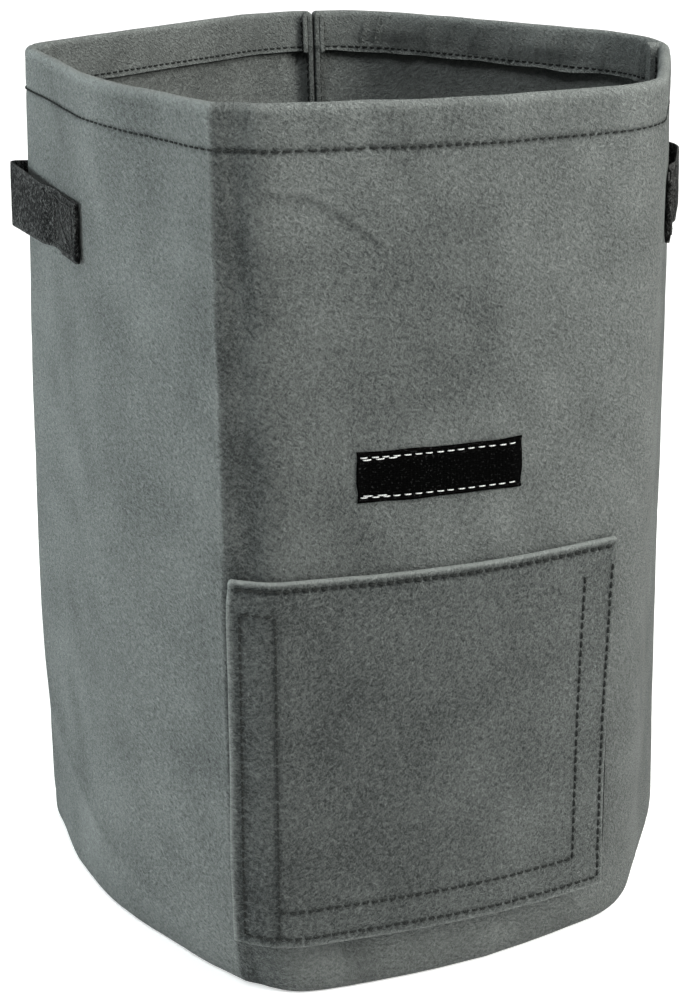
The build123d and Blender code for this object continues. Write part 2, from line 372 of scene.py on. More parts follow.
def front_g(x, z, out):
    """Edge count of the front wall's place at x, for matching x and z, out millimetres off it."""
    x, z = np.broadcast_arrays(np.asarray(x, float), np.asarray(z, float))
    g = np.zeros(x.shape)
    for level in np.unique(z):
        point, normal = ring(FRONT_G, level)
        here = z == level
        g[here] = np.interp(x[here], point[:, 0] + normal[:, 0] * out, FRONT_G)
    return g


WINDOW_S = s_of(front_g(np.array(WINDOW_X), 127.0, 0.0))


def span(first, last):
    """Where the panel between two seams starts and ends along the wall."""
    start, end = SEAMS[first], SEAMS[last]
    return start, end + ROUND * (end < start)


# ---- Mesh building ----
def put(name, data):
    """New object in the scene."""
    obj = bpy.data.objects.new(name, data)
    bpy.context.scene.collection.objects.link(obj)
    return obj


def solid(name, points, faces, cloth, tone, material, sharp=55):
    """Mesh object from points in millimetres, with its cloth coordinates in metres and its tone, a colour
    shift that holds painted light and shade as well as random uneven colour.
    """
    mesh = bpy.data.meshes.new(name)
    mesh.from_pydata((np.asarray(points) * MM).tolist(), [], [list(map(int, f)) for f in faces])
    layer = mesh.attributes.new("cloth", "FLOAT_VECTOR", "POINT")
    layer.data.foreach_set("vector", (np.asarray(cloth, float) * MM).astype(np.float32).ravel())
    shade = mesh.attributes.new("tone", "FLOAT", "POINT")
    shade.data.foreach_set("value", np.asarray(tone, np.float32).ravel())
    shape = bmesh.new()
    shape.from_mesh(mesh)
    bmesh.ops.remove_doubles(shape, verts=shape.verts, dist=1e-6)
    loose = [v for v in shape.verts if not v.link_faces]
    bmesh.ops.delete(shape, geom=loose, context="VERTS")
    bmesh.ops.recalc_face_normals(shape, faces=shape.faces)
    shape.to_mesh(mesh)
    shape.free()
    mesh.shade_smooth()
    mesh.set_sharp_from_angle(angle=math.radians(sharp))
    mesh.materials.append(material)
    return put(name, mesh)


def thick_sheet(name, face, back, u, v, tone, material, keep=None, edge_round=0.45, edge_highlight=0.25,
                back_painted_light=0.0):
    """Closed sheet between two matching grids of points, with softly rounded cut edges that carry a painted
    highlight, and painted light added to its back face.
    """
    rows, cols = face.shape[:2]
    u, v, tone = (np.broadcast_to(a, (rows, cols)) for a in (u, v, tone))
    kept = np.ones((rows - 1, cols - 1), bool) if keep is None else keep
    index = np.arange(rows * cols).reshape(rows, cols)
    total = rows * cols
    corners = np.stack([index[:-1, :-1], index[:-1, 1:], index[1:, 1:], index[1:, :-1]], -1)
    faces = corners[kept]
    quads = [faces, faces[:, ::-1] + total]
    points = [face.reshape(-1, 3), back.reshape(-1, 3)]
    thick = np.linalg.norm(face - back, axis=2).ravel()
    cloth = [
        np.stack([u.ravel(), v.ravel(), 0 * u.ravel()], -1),
        np.stack([u.ravel(), v.ravel(), thick], -1),
    ]
    # The back face gets painted light added.
    tones = [tone.ravel(), tone.ravel() + back_painted_light]

    middle = ((face + back) / 2).reshape(-1, 3)
    around = np.pad(kept, 1)
    neighbours = [
        (around[:-2, 1:-1], 0, 1), (around[1:-1, 2:], 1, 2),
        (around[2:, 1:-1], 2, 3), (around[1:-1, :-2], 3, 0),
    ]
    edges, pushes = [], []
    for beside, first, second in neighbours:
        cells = corners[kept & ~beside]
        edges.append(cells[:, [first, second]])
        pushes.append(middle[cells[:, [first, second]]].mean(1) - middle[cells].mean(1))
    edges = np.concatenate(edges)
    pushes = np.concatenate(pushes)
    pushes = pushes / np.maximum(np.linalg.norm(pushes, axis=1, keepdims=True), 1e-9)
    used, local = np.unique(edges, return_inverse=True)
    local = local.reshape(edges.shape)
    push = np.zeros((len(used), 3))
    for end in (0, 1):
        np.add.at(push, local[:, end], pushes)
    push /= np.maximum(np.linalg.norm(push, axis=1, keepdims=True), 1e-9)
    first_side, other_side = points[0][used], points[1][used]
    for count, share in enumerate((0.22, 0.78)):
        points.append(first_side + (other_side - first_side) * share + push * edge_round)
        cloth.append(cloth[0][used] * (1 - share) + cloth[1][used] * share)
        # Painted highlight on the rounded cut edges.
        tones.append(tones[0][used] + edge_highlight)
    near, far = 2 * total + local, 2 * total + len(used) + local
    for a, b in ((edges, near), (near, far), (far, edges + total)):
        quads.append(np.stack([a[:, 1], a[:, 0], b[:, 0], b[:, 1]], -1))
    points, cloth, tones = np.concatenate(points), np.concatenate(cloth), np.concatenate(tones)
    return solid(name, points, np.concatenate(quads), cloth, tones, material)


def tube_faces(count, steps, sides):
    """Faces and end caps of a number of tubes, whose points go tube by tube and ring by ring."""
    index = np.arange(count * steps * sides).reshape(count, steps, sides)
    turned = np.roll(index, -1, 2)
    quads = np.stack([index[:, :-1], turned[:, :-1], turned[:, 1:], index[:, 1:]], -1).reshape(-1, 4)
    return quads.tolist() + index[:, 0, ::-1].tolist() + index[:, -1].tolist()


def stitches(name, rows, material, radius=THREAD, proud=0.3):
    """One mesh of separate stitches; each row gives the starts, ends and outward directions."""
    starts, ends, out = (np.concatenate(parts) for parts in zip(*rows))
    out = unit(out)
    share = np.array([0, 0.07, 0.2, 0.5, 0.8, 0.93, 1.0])
    height = np.array([-1.0, -0.15, 0.7, 1.0, 0.7, -0.15, -1.0]) * radius
    girth = np.array([0.7, 0.95, 1.0, 1.04, 1.0, 0.95, 0.7]) * radius
    along = ends - starts
    line = starts[:, None] + along[:, None] * share[None, :, None]
    line = line + out[:, None] * (height + proud - radius * 0.55)[None, :, None]
    length = np.linalg.norm(along, axis=1, keepdims=True)
    side = np.cross(along / length, out)
    angle = np.arange(6) * 2 * np.pi / 6
    circle = side[:, None, :] * np.cos(angle)[None, :, None] + out[:, None, :] * np.sin(angle)[None, :, None]
    points = line[:, :, None, :] + circle[:, None] * girth[None, :, None, None]
    count, steps, sides = points.shape[:3]
    cloth = np.zeros(points.shape)
    cloth[..., 0] = share[None, :, None] * length[:, :, None]
    cloth[..., 1] = angle[None, None, :] * radius
    cloth[..., 2] = np.arange(count)[:, None, None] * 3.7
    points, cloth = points.reshape(-1, 3), cloth.reshape(-1, 3)
    return solid(name, points, tube_faces(count, steps, sides), cloth, np.zeros(len(points)), material, 80)


def sewn(place, start, end, seed, pitch=PITCH, stitch=STITCH):
    """Starts, ends and outward directions of a row sewn over place(share, out) from start to end."""
    length = run_length(place(np.linspace(start, end, 60), 0.0))[-1]
    count = max(1, int(length / pitch))
    step = (end - start) / count
    jitter = np.random.default_rng(seed).uniform(-0.05, 0.05, count) * step
    first = start + step * np.arange(count) + jitter
    last = first + step * stitch / pitch
    middle = (first + last) / 2
    return place(first, 0.0), place(last, 0.0), place(middle, 1.0) - place(middle, 0.0)


# ---- Materials ----
class Recipe:
    """Builds one procedural material from the cloth coordinates and tone stored on each mesh; tone holds
    painted light and shade as well as random uneven colour.
    """

    def __init__(self, name, roughness, specular, sheen=0.0):
        self.material = bpy.data.materials.new(name)
        self.material.use_nodes = True
        self.nodes = self.material.node_tree.nodes
        self.shader = self.nodes["Principled BSDF"]
        gloss = {"Roughness": roughness, "Specular IOR Level": specular}
        self.feed(self.shader, {**gloss, "Sheen Weight": sheen, "Sheen Roughness": 0.55})
        self.cloth = self.node("Attribute", attribute_name="cloth").outputs["Vector"]
        self.tone = self.node("Attribute", attribute_name="tone").outputs["Fac"]

    def feed(self, node, inputs):
        """Links or sets the node's inputs, given by name or number."""
        for key, value in inputs.items():
            if isinstance(value, bpy.types.NodeSocket):
                self.material.node_tree.links.new(value, node.inputs[key])
            else:
                node.inputs[key].default_value = value

    def node(self, kind, inputs=None, **settings):
        node = self.nodes.new("ShaderNode" + kind)
        for key, value in settings.items():
            setattr(node, key, value)
        self.feed(node, inputs or {})
        return node

    def place(self, turn, stretch=(1, 1, 1), kind="POINT"):
        inputs = {"Vector": self.cloth, "Rotation": (0, 0, math.radians(turn)), "Scale": stretch}
        return self.node("Mapping", inputs, vector_type=kind).outputs["Vector"]

    def noise(self, scale, detail, stretch=(1, 1, 1), turn=0.0, rough=0.55, warp=0.0):
        inputs = {"Vector": self.place(turn, stretch, "TEXTURE"), "Scale": scale, "Detail": detail}
        return self.node("TexNoise", {**inputs, "Roughness": rough, "Distortion": warp}).outputs["Fac"]

    def wave(self, scale, turn, warp):
        inputs = {"Vector": self.place(turn), "Scale": scale, "Distortion": warp}
        return self.node("TexWave", inputs).outputs["Fac"]

    def spread(self, source, low, high, to_low=0.0, to_high=1.0):
        inputs = {"Value": source, "From Min": low, "From Max": high, "To Min": to_low, "To Max": to_high}
        return self.node("MapRange", inputs).outputs["Result"]

    def most(self, a, b):
        return self.node("Math", {0: a, 1: b}, operation="MAXIMUM").outputs[0]

    def times(self, a, b):
        return self.node("Math", {0: a, 1: b}, operation="MULTIPLY").outputs[0]

    def add(self, total, *terms):
        for term in terms:
            total = self.node("Math", {0: total, 1: term}, operation="ADD").outputs[0]
        return total

    def colour(self, factor, dark, light):
        inputs = {"Factor": factor, "A": (*dark, 1), "B": (*light, 1)}
        self.feed(self.shader, {"Base Color": self.node("Mix", inputs, data_type="RGBA").outputs["Result"]})

    def bump(self, height, distance, strength):
        inputs = {"Height": height, "Distance": distance, "Strength": strength}
        self.feed(self.shader, {"Normal": self.node("Bump", inputs).outputs["Normal"]})


def felt_material(name, dark, light):
    """Needle-punched felt: short crossed fibres, soft mottling, broad uneven dye, and the painted light and
    shade carried by tone.
    """
    r = Recipe(name, 0.95, sheen=0.06, specular=0.12)
    layers = [
        r.spread(r.noise(scale, 2, (1, 4.0, 1), turn, warp=0.3), 0.48, 0.74)
        for turn, scale in ((28, 1300), (-37, 1100), (-62, 1000), (-12, 1050))
    ]
    fibres = r.most(r.most(*layers[:2]), r.most(*layers[2:]))
    pits = r.spread(r.noise(900, 3, (1, 1.8, 1), 58, rough=0.7), 0.32, 0.56)
    grain = r.noise(1500, 3, (1, 1.6, 1), -35, rough=0.75)
    mottle = r.noise(460, 4, (1, 2.0, 1), 60, rough=0.7)
    blotch = r.noise(24, 3)
    # r.tone adds the painted light and shade set on each piece.
    mix = r.add(
        r.times(fibres, 0.30), r.spread(pits, 0, 1, -0.14, 0.08), r.spread(grain, 0.3, 0.7, -0.12, 0.14),
        r.spread(mottle, 0.3, 0.7, 0.08, 0.40), r.spread(blotch, 0.3, 0.7, -0.055, 0.085), r.tone,
    )
    r.colour(r.spread(mix, -0.1, 1.0), dark, light)
    r.bump(r.add(r.times(fibres, 0.5), r.times(mottle, 1.3), r.times(pits, 0.8)), 0.0014, 1.0)
    return r.material


def thread_material(name, dark, light):
    """Twisted polyester thread."""
    r = Recipe(name, 0.85, specular=0.03)
    twist = r.wave(330, 38, 0.4)
    r.colour(r.spread(r.add(twist, r.times(r.noise(700, 2), 0.5)), 0.0, 1.5), dark, light)
    r.bump(twist, 0.00012, 0.6)
    return r.material


def strap_material(name, dark, light):
    """Black strap: close dull weave, speckled with paler broken fibres."""
    r = Recipe(name, 0.9, specular=0.08)
    flecks = r.spread(r.noise(1000, 3, (1, 2.6, 1), 35, rough=0.7), 0.47, 0.72)
    crossed = r.spread(r.noise(900, 3, (1, 2.6, 1), -50, rough=0.7), 0.48, 0.72)
    clumps = r.spread(r.noise(300, 3, rough=0.6), 0.35, 0.7)
    weave = r.times(r.wave(300, 45, 2.0), r.wave(300, -45, 2.0))
    speckle = r.times(r.most(flecks, crossed), r.add(clumps, 0.35))
    mix = r.add(r.times(speckle, 0.75), r.times(weave, 0.1), r.tone)
    r.colour(r.spread(mix, 0.14, 0.85), dark, light)
    r.bump(r.add(r.times(weave, 0.5), r.add(flecks, crossed)), 0.0004, 0.8)
    return r.material


def tape_material(name, dark, light, roughness):
    """Nylon hook or loop tape with pale specks painted as glints off its hooks and fibres."""
    r = Recipe(name, roughness, specular=0.0)
    mix = r.add(r.times(r.noise(1300, 3, warp=1.0), 0.7), r.times(r.wave(300, 90, 0.8), 0.2))
    # Pale specks of painted glint.
    glint_specks = r.spread(r.noise(820, 2), 0.61, 0.70)
    r.colour(r.add(r.spread(r.add(mix, r.tone), 0.2, 0.9, 0, 0.12), r.times(glint_specks, 0.7)), dark, light)
    r.bump(mix, 0.0005, 0.8)
    return r.material


grey_felt = felt_material("grey_felt", (0.026, 0.030, 0.0295), (0.285, 0.306, 0.293))
grey_thread = thread_material("grey_thread", (0.007, 0.0075, 0.0073), (0.042, 0.045, 0.043))
white_thread = thread_material("white_thread", (0.34, 0.34, 0.34), (0.80, 0.80, 0.79))
black_thread = thread_material("black_thread", (0.012, 0.012, 0.012), (0.075, 0.076, 0.074))
black_strap = strap_material("black_strap", (0.0015, 0.0015, 0.0015), (0.15, 0.152, 0.148))
hook_tape = tape_material("hook_tape", (0.0005, 0.0005, 0.0005), (0.03, 0.03, 0.03), 0.8)
loop_tape = tape_material("loop_tape", (0.01, 0.0105, 0.011), (0.06, 0.062, 0.064), 0.9)


def finish_piece(obj, body, *nodes):
    """Puts a piece on its body, if it has one, in place of its CAD nodes."""
    if body:
        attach(obj, body)
    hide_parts(*nodes)
    return obj


def sew(name, rows, material, node, body="bag", **thread):
    """The piece made of one part's stitches."""
    return finish_piece(stitches(name, rows, material, **thread), body, node)


# ---- Wall panels ----
def wall_stations():
    """Rows of the wall's cross-section: depth and height of its face and its back, and the row's part."""
    rows = []
    lip, foot = 3.0, 9.0  # heights of the round bends at the ground, inside and outside
    for z in (BASE_TURN, 7.5, 5.0):
        rows.append((FACING_DEEP, z, LAYER, z, "turn"))
    half = LAYER - 0.15
    for angle in np.radians(np.linspace(90, 15, 5)):
        face = (half + half * math.sin(angle), lip - lip * math.cos(angle))
        back = (half + 0.15 * math.sin(angle), lip - 0.2 * math.cos(angle))
        rows.append((*face, *back, "turn"))
    for angle in np.radians(np.linspace(90, 10, 8)):
        face = (half - half * math.cos(angle), foot - foot * math.sin(angle))
        back = (half - 0.15 * math.cos(angle), foot - (foot - FELT) * math.sin(angle))
        rows.append((*face, *back, "wall"))
    # The rows lie closer together towards the hem.
    levels = set()
    for low, high, step in ((foot, 330, 3.0), (330, 417, 1.5), (418, 447, 1.15)):
        levels |= set(np.round(np.arange(low, high, step), 3))
    for edge in WINDOW_Z:
        levels = {z for z in levels if abs(z - edge) > 1.2} | {edge}
    for z in sorted(levels):
        rows.append((0.0, z, FELT, z, "wall"))
    top = HEIGHT - half
    for angle in np.radians(np.linspace(0, 180, 9)):
        face = (half - half * math.cos(angle), top + half * math.sin(angle))
        back = (half - 0.15 * math.cos(angle), top + 0.15 * math.sin(angle))
        rows.append((*face, *back, "rim"))
    for z in np.arange(top - 1.6, HEIGHT - HEM_DEEP - 0.1, -1.15):
        rows.append((FACING_DEEP, z, LAYER, z, "facing"))
    return rows


def hem_folds(s, z):
    """Narrow upright wrinkles of the hem's inside layer, 0 to 1."""
    return (1 - np.abs(round_noise(s + 0.25 * z, z / 3, 10, 60, 25))) ** 6


def facing_wave(s, z, loose):
    """How far the hem's inside layer stands away from the wall."""
    below = np.clip((HEM_ROW - z) / 3.5, 0, 1)
    lip = below * (0.9 + loose * 1.5 * np.clip(0.4 + round_noise(s, 0, 15, 50, 21), 0, 1.4))
    puff = hump(z - 438, 6) * (0.35 + loose * 0.9 * (0.5 + round_noise(s + z, z, 26, 20, 22)))
    pinch = -0.5 * hump(z - HEM_ROW, 1.5) * (1 + 0.4 * np.cos(2 * np.pi * s / PITCH))
    wrinkle = loose * 1.8 * hem_folds(s, z) * hump(z - 438, 9)
    return lip + puff + pinch + wrinkle


def panel_column(s, depth, z, facing, loose):
    """One upright line of a panel, at depths and heights; facing marks its hem's inside layer."""
    point, normal = ring(g_of(s), z)
    out = bulge(s, z) - depth - facing * facing_wave(s, z, loose)
    ragged = 0.7 * loose * round_noise(s, 0, 23, 50, 23) * (HEIGHT - z) / HEM_DEEP
    return np.column_stack([point + normal * out[:, None], lift_z(s, z) + facing * ragged])


def seam_frame(s, sign, z):
    """A seam's points, directions into the panel on one side of it, and unit outward normals."""
    point, normal = ring(g_of(s), z)
    normal = unit(normal)
    return point, np.column_stack([-normal[:, 1], normal[:, 0]]) * sign, normal


def seam_column(s, depth, z, sign, bend, fin):
    """One upright line of the edge that bends into the bag at a seam: by angle, then by share of the fin."""
    point, into, normal = seam_frame(s, sign, z)
    turn = np.maximum(SEAM_ROUND - depth, 0.3)
    side = depth + turn - turn * math.sin(bend)
    deep = depth + turn - turn * math.cos(bend)
    deep = deep + (FIN_DEEP - deep) * fin
    side = side + 0.25 + 0.6 * np.clip((deep - SEAM_ROW_DEEP + 2) / 6, 0, 1) ** 2
    xy = point + into * side[:, None] - normal * (deep - bulge(s, z))[:, None]
    return np.column_stack([xy, lift_z(s, z)])


def panel_tone(s, z, part, on_back_fin, loose):
    """Painted light and shade on a panel, with random uneven colour; s is a row of places, z and part are
    columns of its stations.
    """
    facing = part == "facing"
    past = s - crease_s(z)
    # Painted highlight along the rounded rim top, and painted shade in the groove of the hem's row of
    # stitches and near the ground.
    tone = 0.5 * hump(z - HEIGHT, 3.2) * ~facing - 0.16 * hump(z - HEM_ROW, 1.6) - 0.1 * hump(z - 4, 7)
    tone = tone - 0.10 * hump(z - HEM_ROW, 1.2) * (part == "wall")

    # Painted highlight on the front left crease, and painted shade in the hollow to its right and along the
    # crease line, with random uneven colour in the hollow.
    tone = tone + 0.10 * hump(past + 1, 1.2) - 0.29 * np.clip(past / 2, 0, 1) * hump(past - 8, 17)
    tone += 0.12 * hump(past - 9, 13) * round_noise(s + 0.05 * z, z, 4, 35, 28) - 0.10 * hump(past - 0.8, 1.1)
    tone += 0.07 * round_noise(s, z, 46, 60, 24) + 0.08 * round_noise(s + 0.5 * z, z - 0.3 * s, 19, 26, 26)
    tone += 0.05 * (z > HEM_ROW) * round_noise(s, z, 15, 30, 27)
    in_shade = np.clip(past / 12, 0, 1) * np.clip((128 - s) / 6, 0, 1)
    tone -= 0.07 * in_shade * np.clip((z - 180) / 60, 0.3, 1)

    # Painted highlight on the curved mark under the hem, and painted shadow just below it.
    above, shows = pull_mark(s, z)
    tone += shows * (0.12 * hump(above, 1.6) - 0.12 * hump(above + 4, 2.6))
    # Painted light on the cloth below the slumped line on the left side.
    along = (s + 196) / 150
    under = 62 - 44 * along - z
    slump_painted_light = np.clip(under / 3, 0, 1) * np.exp(-np.clip(under, 0, 99) / 30)
    tone += 0.20 * slump_painted_light * np.clip(1 - np.abs(along - 0.35) * 1.2, 0, 1)

    # Painted shade on the back seam's fins, painted light on the hem's inside layer, and painted shade in its
    # wrinkles.
    return tone - 0.28 * on_back_fin + facing * (0.20 - 0.30 * loose * hem_folds(s + 1.5, z))


def wall_panel(name, first, last, loose):
    """One wall panel from its left seam to its right seam, hemmed, turned in at seams and base."""
    stations = wall_stations()
    face_o, face_z, back_o, back_z = (np.array([row[i] for row in stations]) for i in range(4))
    part = np.array([row[4] for row in stations])
    start, end = span(first, last)
    has_window = start < WINDOW_S[0] and WINDOW_S[1] < end
    wall_s = np.linspace(start + SEAM_CLEAR, end - SEAM_CLEAR, int((end - start) / SIDE_STEP))
    if has_window:
        for edge in WINDOW_S:
            wall_s[np.abs(wall_s - edge).argmin()] = edge

    # Each column's place, its side of the seam, how far it bends in, and how far along the fin it is.
    bends = [(math.radians(bend), 0) for bend in (20, 40, 60, 78, 90)]
    bends += [(math.pi / 2, fin) for fin in (0.25, 0.5, 0.75, 1.0)]
    places = [(start, 1, *bend) for bend in bends[::-1]]
    places += [(s, 0, 0, 0) for s in wall_s]
    places += [(end, -1, *bend) for bend in bends]
    face, back = [], []
    for s, sign, bend, fin in places:
        for depth, z, into in ((face_o, face_z, face), (back_o, back_z, back)):
            if sign:
                into.append(seam_column(s, depth, z, sign, bend, fin))
            else:
                into.append(panel_column(s, depth, z, part == "facing", loose))
    face, back = np.stack(face, 1), np.stack(back, 1)

    u = run_length(face[len(stations) // 2])[None] + start
    v = run_length(np.column_stack([face_o, face_z]))[:, None]
    s = np.array([place[0] for place in places])
    on_fin = np.array([place[3] > 0 for place in places])
    tone = panel_tone(s[None], face_z[:, None], part[:, None], on_fin & (s == SEAMS["back"]), loose)

    keep = np.ones((len(stations) - 1, len(places) - 1), bool)
    middle_s, middle_z = (s[:-1] + s[1:]) / 2, (face_z[:-1] + face_z[1:]) / 2
    keep[np.ix_(middle_z < BASE_TURN + 0.5, on_fin[:-1] | on_fin[1:])] = False
    if has_window:
        in_s = (middle_s > WINDOW_S[0]) & (middle_s < WINDOW_S[1])
        in_z = (middle_z > WINDOW_Z[0]) & (middle_z < WINDOW_Z[1]) & (part[:-1] == "wall")
        keep[np.ix_(in_z, in_s)] = False
    # Painted light on the wall's inside face, and a painted highlight on its cut edges.
    return thick_sheet(name, face, back, u, v, tone, grey_felt, keep, 0.35, 0.2, back_painted_light=0.16)


PANELS = {  # piece, its two seams, and how loosely its hem's inside layer lies
    "front": ("wall_front_felt", "left", "right", 0.35),
    "back_right": ("wall_back_right_felt", "right", "back", 1.0),
    "back_left": ("wall_back_left_felt", "back", "left", 0.3),
}
walls = {
    side: finish_piece(wall_panel(*panel), "bag", f"wall_{side}_panel") for side, panel in PANELS.items()
}


# ---- Base ----
def base_sheet():
    """The base, its edge turned up inside the wall's turned-in edge."""
    g = g_of(np.linspace(S_TABLE[0], S_TABLE[0] + ROUND, 300))
    g[-1] = g[0]
    rows = []
    inner, outer, bend = 2 * LAYER, 2 * LAYER + FELT, 3.0
    for z in (BASE_TURN, 7.5, 5.2, bend):
        rows.append((inner, z, outer, z, 0.0))
    for angle in np.radians([30, 60, 90]):
        swing, drop = 1 - math.cos(angle), math.sin(angle)
        face = (inner + bend * swing, bend - bend * drop)
        back = (outer + 0.2 * swing, bend - 0.2 * drop)
        rows.append((*face, *back, 0.0))
    for share in np.linspace(0, 1, 64)[1:]:
        rows.append((inner + bend, 0.0, inner + bend, FELT, share))
    face, back = [], []
    for face_o, face_z, back_o, back_z, share in rows:
        for depth, z, into in ((face_o, face_z, face), (back_o, back_z, back)):
            point, normal = ring(g, z)
            tuck = bulge(s_of(np.mod(g, 14.0)), z)
            xy = point + normal * (tuck - depth)[:, None]
            xy = xy + (PANEL_CENTRE - xy) * share
            wave = 0.7 * np.sin(np.pi * min(1, share * 3) / 2) * (
                1 + 0.8 * soft_noise(xy[:, 0] / 45 + 9, xy[:, 1] / 45 + 9, 31)
            )
            into.append(np.column_stack([xy, z + wave * (share > 0)]))
    face, back = np.stack(face), np.stack(back)
    tone = 0.05 * soft_noise(back[..., 0] / 40 + 9, back[..., 1] / 40 + 9, 32) - 0.03
    # Painted highlight on the base's cut edges, the default amount.
    obj = thick_sheet("base_felt", face, back, back[..., 0], back[..., 1] + back[..., 2], tone, grey_felt)
    return finish_piece(obj, "bag", "base_panel")


base = base_sheet()


# ---- Flap with its folded, sewn top edge ----
def flap_shares(x, z):
    """How far down and how far right a point of the flap is, each from 0 to 1."""
    down = np.clip((FLAP_Z[1] - z) / (FLAP_Z[1] - FLAP_Z[0]), 0, 1)
    return down, np.clip((x - FLAP_X[0]) / (FLAP_X[1] - FLAP_X[0]), 0, 1)


def flap_lift(x, z):
    """How far the hanging flap stands away from the wall."""
    down, right = flap_shares(x, z)
    lift = down**2 * (1.2 + 7.5 * right**1.3)
    lift = lift + 0.5 * down * soft_noise(x / 60 + 5, z / 55 + 5, 41)
    return lift + 0.16 * soft_noise(x / 17 + 5, z / 19 + 5, 42) + 0.07 * soft_noise(x / 6 + 5, z / 6 + 5, 43)


def flap_pucker(x, z):
    """Dips along the sewn rows of the flap's face."""
    beat = 1 + 0.4 * np.cos(2 * np.pi * x / PITCH)
    dip = 0.5 * hump(z - HINGE_ROW, 1.2) * beat
    for (x_low, x_high), (z_low, z_high) in (TAPES["left"], TAPES["right"]):
        on = ((z > z_low) & (z < z_high)) * 1.0
        for row in (x_low + TAPE_INSET, x_high - TAPE_INSET):
            dip = dip + 0.35 * on * hump(x - row, 1.7)
    (x_low, x_high), (z_low, z_high) = TAPES["bottom"]
    on = ((x > TAPES["left"][0][0]) & (x < TAPES["right"][0][1])) * 1.0
    for row in (z_low + TAPE_INSET, z_high - TAPE_INSET):
        dip = dip + 0.35 * on * hump(z - row, 1.7)
    return dip


def pressed(z):
    """How far the flap's two layers are pressed together, 0 to 1."""
    return np.clip((z - PRESSED_Z) / 8, 0, 1)


def on_flap(x, z, out):
    """Points out millimetres off the flap's outer face."""
    x, z, out = np.broadcast_arrays(*(np.asarray(a, float) for a in (x, z, out)))
    down, right = flap_shares(x, z)
    g = front_g(x - down * (FLAP_LEAN + FLAP_TAPER * right), z, FLAP_STAND)
    point, normal = ring(g, z)
    wavy = bulge(s_of(g), z) * 0.5 + flap_lift(x, z) - flap_pucker(x, z)
    offset = FLAP_STAND + out + wavy - (FLAP_STAND - 2 * FOLD_HALF) * pressed(z)
    xy = point + normal * offset[..., None]
    at_left, more_right, midway = FLAP_RISE
    level = z + down**2 * (at_left + more_right * right + midway * np.sin(np.pi * right))
    return np.concatenate([xy, level[..., None]], -1)


def flap_tone(x, z, outside):
    """Painted light and shade on the flap: painted shade over its face and in its sewn rows, painted light
    growing to the right, a painted highlight on the fold's top with a painted shadow under it, and painted
    highlights on its cut edges.
    """
    # Painted shade over the flap's face, and in the dips of its sewn rows.
    tone = -0.32 * outside * (1 - hump(z - FLAP_Z[1], 1.5))
    tone = tone - 0.16 * np.clip(flap_pucker(x, z), 0, 0.6) * outside
    # Painted highlight on the fold's top, and painted light growing towards the right.
    tone += 0.85 * hump(z - FLAP_Z[1] + 0.2, 0.8) + 0.15 * np.clip((x + 110) / 170, 0, 1)
    # Random uneven colour, and a painted shadow under the fold.
    tone += 0.05 * soft_noise(x / 30 + 5, z / 40 + 5, 45) - 0.10 * hump(z - HINGE_ROW + 0.8, 1.3)
    # Painted highlights on the flap's cut edges.
    edges = 0.75 * hump(x - FLAP_X[0], 1.1) + 0.3 * hump(x - FLAP_X[1], 1.0) + 0.35 * hump(z - FLAP_Z[0], 1.0)
    return tone + edges * outside


def flap_sheet():
    """The flap from the end of its folded-under edge, over the fold and down to its lower edge."""
    rows = []
    half = FOLD_HALF
    top = FLAP_Z[1] - half
    for z in np.linspace(FOLD_UNDER_TO, top - 0.3, 3):
        rows.append((-2 * half, z, -half - 0.1, z))
    for angle in np.radians(np.linspace(0, 180, 11)):
        face = (-half - half * math.cos(angle), top + half * math.sin(angle))
        back = (-half - 0.12 * math.cos(angle), top + 0.12 * math.sin(angle))
        rows.append((*face, *back))
    fine = np.arange(top - 0.5, 211.0, -0.5)
    coarse = np.arange(210.0, FLAP_Z[0], -1.5)
    for z in np.concatenate([fine, coarse, [FLAP_Z[0]]]):
        rows.append((0.0, z, -FELT + (FELT - half + 0.1) * pressed(z), z))
    face_out, face_z, back_out, back_z = (np.array([row[i] for row in rows])[:, None] for i in range(4))
    x = np.arange(FLAP_X[0], FLAP_X[1] + 0.1, 1.36)[None]
    skew = 0.5 * soft_noise(face_z / 40, 0 * face_z, 44)
    face = on_flap(x + skew, face_z + 0 * x, face_out)
    back = on_flap(x + skew, back_z + 0 * x, back_out)
    v = run_length(np.hstack([face_out, face_z]))[:, None] + 900  # far from the wall's own cloth pattern
    tone = flap_tone(x, face_z, face_out > -1)
    # Strong painted highlight on the flap's cut edges.
    obj = thick_sheet("flap_felt", face, back, x, v, tone, grey_felt, edge_round=0.5, edge_highlight=0.8)
    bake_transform(obj)
    return finish_piece(obj, None, "flap_panel", "flap_hinge_hem")


flap = flap_sheet()


# ---- Rows of thread ----
def sewn_line(surface, start, end, seed, pitch=PITCH, stitch=STITCH):
    """Row of stitches between two points x, z of a surface(x, z, lift)."""
    start, end = np.array(start, float), np.array(end, float)

    def place(share, lift):
        x, z = (start + (end - start) * share[:, None]).T
        return surface(x, z, lift)

    return sewn(place, 0.0, 1.0, seed, pitch, stitch)


def inside_rows(x_range, z_range, inset):
    """Where the rows of stitches lie, inset from a tape's edges."""
    return x_range[0] + inset, x_range[1] - inset, z_range[0] + inset, z_range[1] - inset


def hem_row(first, last, seed):
    """Row of stitches on the outside of one panel's hem."""
    start, end = span(first, last)
    return sewn(lambda s, lift: on_wall(g_of(s), HEM_ROW, lift), start + 3, end - 3, seed=seed)


def inside_hem_row(first, last, loose, seed):
    """The same row where it comes through inside the bag."""
    start, end = span(first, last)

    def place(s, lift):
        return on_wall(g_of(s), HEM_ROW, -FACING_DEEP - facing_wave(s, HEM_ROW, loose) - lift)

    return sewn(place, start + 7, end - 7, seed=seed)


